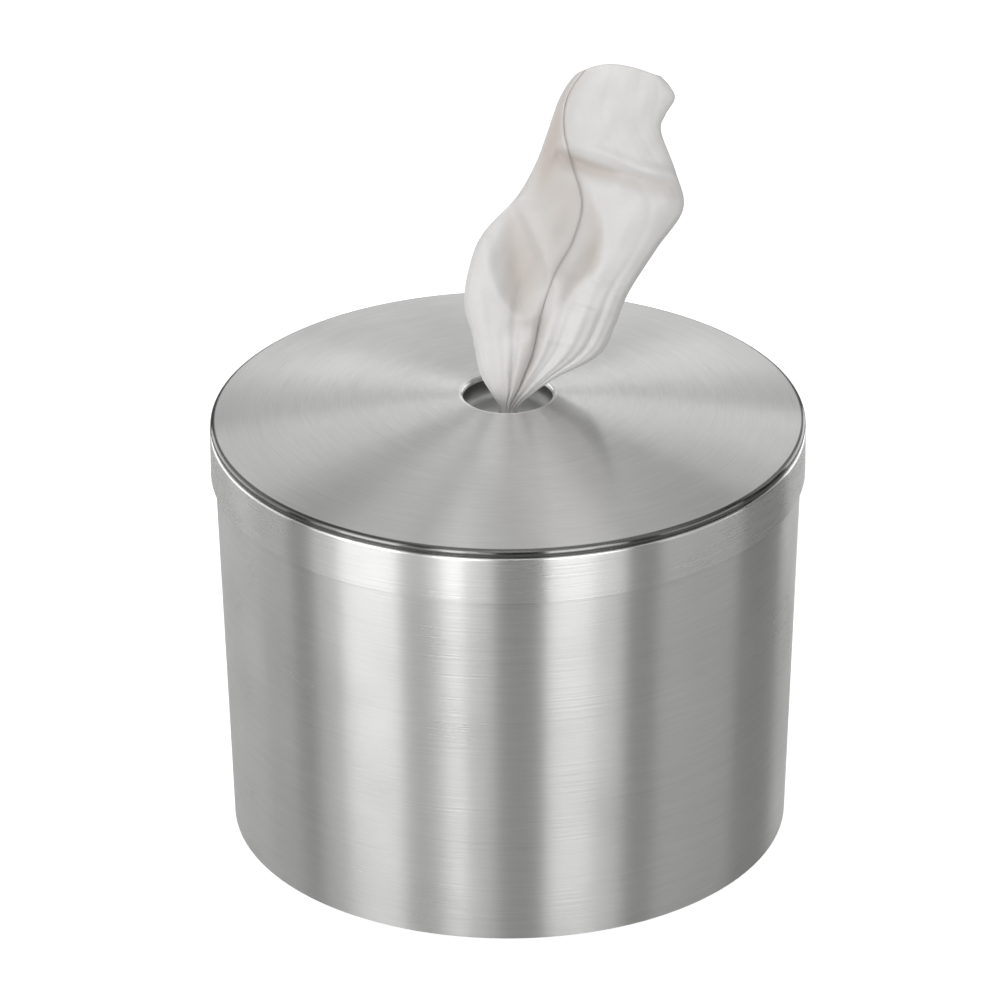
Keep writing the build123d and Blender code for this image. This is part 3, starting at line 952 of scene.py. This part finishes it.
class WIPES_OT_set_stage(Operator):
    """Lay the floor, hang the lamps and place the camera"""

    bl_idname = "wipes.set_stage"
    bl_label = "Floor, lamps and camera"

    floor_radius: FloatProperty(
        name="Floor radius", description="Radius of the pale floor", default=4.0, unit="LENGTH"
    )

    def execute(self, context):
        studio = context.scene.studio
        self.lay_floor(studio)
        self.hang_lamps(studio)
        self.light_world(context)
        self.place_camera(context, studio)
        context.scene.view_settings.view_transform = "Standard"
        return {"FINISHED"}

    def lay_floor(self, studio):
        """Lay a round floor: rings whose radius grows with the square of their number."""
        rings, corners = 16, 96
        turn = np.linspace(0, 2 * pi, corners + 1)[None, :-1]
        radius = self.floor_radius * np.linspace(0, 1, rings + 1)[1:, None] ** 2
        points = np.stack(
            (radius * np.cos(turn), radius * np.sin(turn), np.zeros((rings, corners))), axis=-1
        )
        centre = np.zeros((1, corners, 3))
        floor = grid_object("pale_floor", np.vstack((centre, points)), round_columns=True)
        floor.data.flip_normals()
        material, tree = new_material("paper_sweep_matt")
        shader = add_node(
            tree, "ShaderNodeBsdfPrincipled", {},
            {
                "Base Color": (*studio.floor_colour, 1), "Roughness": 0.9,
                "Specular IOR Level": 0.1, "Emission Color": (1, 1, 1, 1),
                "Emission Strength": seen_strength(tree, FLOOR_GLOW),
            },
        )
        add_node(tree, "ShaderNodeOutputMaterial", sockets={"Surface": shader.outputs[0]})
        floor.data.materials.append(material)

    def hang_lamps(self, studio):
        """Stand the soft boxes and the black cards round the dispenser, and hang two boxes over
        it."""
        for name, start, end, low, high, distance, radiance in SOFT_BOXES:
            soft_box(name, start, end, low, high, distance, radiance * studio.lamp_level)
        for flag in BLACK_FLAGS:
            black_flag(*flag)
        for name, side, lean, wide, deep, radiance in OVERHEAD_BOXES:
            box = area_lamp(name, wide, deep, radiance * studio.lamp_level)
            box.location = (side, 0, OVERHEAD_HEIGHT)
            box.rotation_euler = (0, radians(lean), 0)

    def light_world(self, context):
        """Light the room dimly, and let the camera see it white. Metal and glass mirror it
        brighter than it lights the rest."""
        world = bpy.data.worlds.new("studio_room")
        world.use_nodes = True
        tree = world.node_tree
        tree.nodes.clear()
        sky = add_node(
            tree, "ShaderNodeBackground", {},
            {"Color": (1, 1, 1, 1), "Strength": seen_strength(tree, ROOM_LIGHT)},
        )
        add_node(tree, "ShaderNodeOutputWorld", sockets={"Surface": sky.outputs[0]})
        context.scene.world = world

    def place_camera(self, context, studio):
        """Stand the camera in front of the dispenser, looking down at the photograph's angle."""
        lens = bpy.data.cameras.new("camera")
        lens.lens = studio.lens
        lens.sensor_width = FILM_WIDTH
        lens.clip_end = 50.0
        camera = bpy.data.objects.new("camera", lens)
        target = Vector(CAMERA_AIM)
        back = Vector((0, -cos(studio.elevation), sin(studio.elevation)))
        right = Vector((1, 0, 0))
        up = back.cross(right)
        turned = Matrix((right, up, back)).transposed()
        roll = Matrix.Rotation(radians(CAMERA_ROLL), 3, "Z")
        camera.matrix_world = Matrix.Translation(target + back * studio.distance) @ (
            turned @ roll
        ).to_4x4()
        context.scene.collection.objects.link(camera)
        context.scene.camera = camera


class WIPES_PT_sidebar(Panel):
    """Lists the dispenser's settings and pieces"""

    bl_label = "Wipe Dispenser"
    bl_idname = "WIPES_PT_sidebar"
    bl_space_type = "VIEW_3D"
    bl_region_type = "UI"
    bl_category = "Wipe Dispenser"

    def draw(self, context):
        for group in (context.scene.steel_finish, context.scene.wipe_sheet, context.scene.studio):
            box = self.layout.box()
            for name in group.bl_rna.properties.keys():
                if name not in ("rna_type", "name"):
                    box.prop(group, name)
        for operator in OPERATORS:
            self.layout.operator(operator.bl_idname)


GROUPS = {"steel_finish": SteelFinish, "wipe_sheet": WipeSheet, "studio": Studio}
OPERATORS = (
    WIPES_OT_finish_can,
    WIPES_OT_finish_lid,
    WIPES_OT_wind_roll,
    WIPES_OT_pull_wipe,
    WIPES_OT_set_stage,
)


def register():
    """Add the settings, the operators and the panel to Blender."""
    for kind in (*GROUPS.values(), *OPERATORS, WIPES_PT_sidebar):
        bpy.utils.register_class(kind)
    for name, kind in GROUPS.items():
        setattr(bpy.types.Scene, name, PointerProperty(type=kind))


def unregister():
    """Take them out again, last first."""
    for name in reversed(GROUPS):
        delattr(bpy.types.Scene, name)
    for kind in reversed((*GROUPS.values(), *OPERATORS, WIPES_PT_sidebar)):
        bpy.utils.unregister_class(kind)


def main():
    """Build every piece and the stage."""
    register()
    bpy.ops.wipes.finish_can()
    bpy.ops.wipes.finish_lid()
    bpy.ops.wipes.wind_roll()
    bpy.ops.wipes.pull_wipe()
    bpy.ops.wipes.set_stage()


if __name__ == "__main__":
    main()
